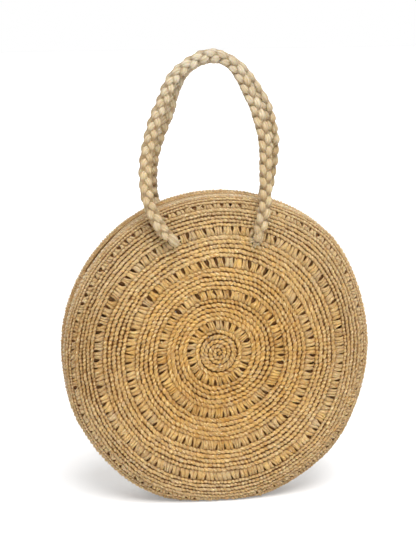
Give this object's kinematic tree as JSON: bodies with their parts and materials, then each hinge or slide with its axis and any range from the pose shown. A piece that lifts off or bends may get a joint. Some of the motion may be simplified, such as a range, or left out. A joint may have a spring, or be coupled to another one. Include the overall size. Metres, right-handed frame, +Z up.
{
  "type": "round crocheted bag",
  "caption": "Round crocheted raffia bag with openwork rings, a zipped top and plaited handles that fold down.",
  "frame": {"origin": "middle of the flat base that the bag stands on, on the floor", "axes": "+Z up, +X to the right as seen from the front, the front face towards -Y"},
  "size_m": [0.3858, 0.1146, 0.5619],
  "materials": {
    "bag_raffia": "natural golden raffia, crocheted",
    "joining_raffia": "natural raffia, smooth joining stitches",
    "handle_raffia": "pale cream raffia, plaited",
    "zip_tape": "woven tape",
    "zip_coil": "moulded coil",
    "zip_metal": "satin brass"
  },
  "bodies": {
    "bag": {"front_face": "bag_raffia", "back_face": "bag_raffia", "front_shoulder": "bag_raffia", "back_shoulder": "bag_raffia", "gusset": "bag_raffia", "front_joining_row": "joining_raffia", "back_joining_row": "joining_raffia", "front_top_band": "bag_raffia", "back_top_band": "bag_raffia", "front_zip_tape": "zip_tape", "back_zip_tape": "zip_tape", "front_zip_coil": "zip_coil", "back_zip_coil": "zip_coil", "zip_top_stops": "zip_metal", "zip_bottom_stop": "zip_metal", "front_left_knot": "handle_raffia", "front_right_knot": "handle_raffia", "back_left_knot": "handle_raffia", "back_right_knot": "handle_raffia"},
    "zip_slider": {"zip_slider": "zip_metal"},
    "zip_pull": {"zip_pull": "zip_metal"},
    "front_handle": {"front_handle_strand_a": "handle_raffia", "front_handle_strand_b": "handle_raffia", "front_handle_strand_c": "handle_raffia", "front_left_binding": "handle_raffia", "front_right_binding": "handle_raffia"},
    "back_handle": {"back_handle_strand_a": "handle_raffia", "back_handle_strand_b": "handle_raffia", "back_handle_strand_c": "handle_raffia", "back_left_binding": "handle_raffia", "back_right_binding": "handle_raffia"}
  },
  "joints": [
    {"name": "zip_slider_run", "type": "hinge", "parent": "bag", "child": "zip_slider", "pos_m": [0, 0, 0.18932], "axis": [0, -1, 0], "range_deg": [0, 106]},
    {"name": "zip_pull_flip", "type": "hinge", "parent": "zip_slider", "child": "zip_pull", "pos_m": [0.15522, 0, 0.30485], "axis": [0, -1, 0], "range_deg": [0, 150]},
    {"name": "front_handle_swing", "type": "hinge", "parent": "bag", "child": "front_handle", "pos_m": [0, -0.05009, 0.33524], "axis": [1, 0, 0], "range_deg": [0, 170]},
    {"name": "back_handle_swing", "type": "hinge", "parent": "bag", "child": "back_handle", "pos_m": [0, 0.05009, 0.33524], "axis": [-1, 0, 0], "range_deg": [0, 170]}
  ]
}
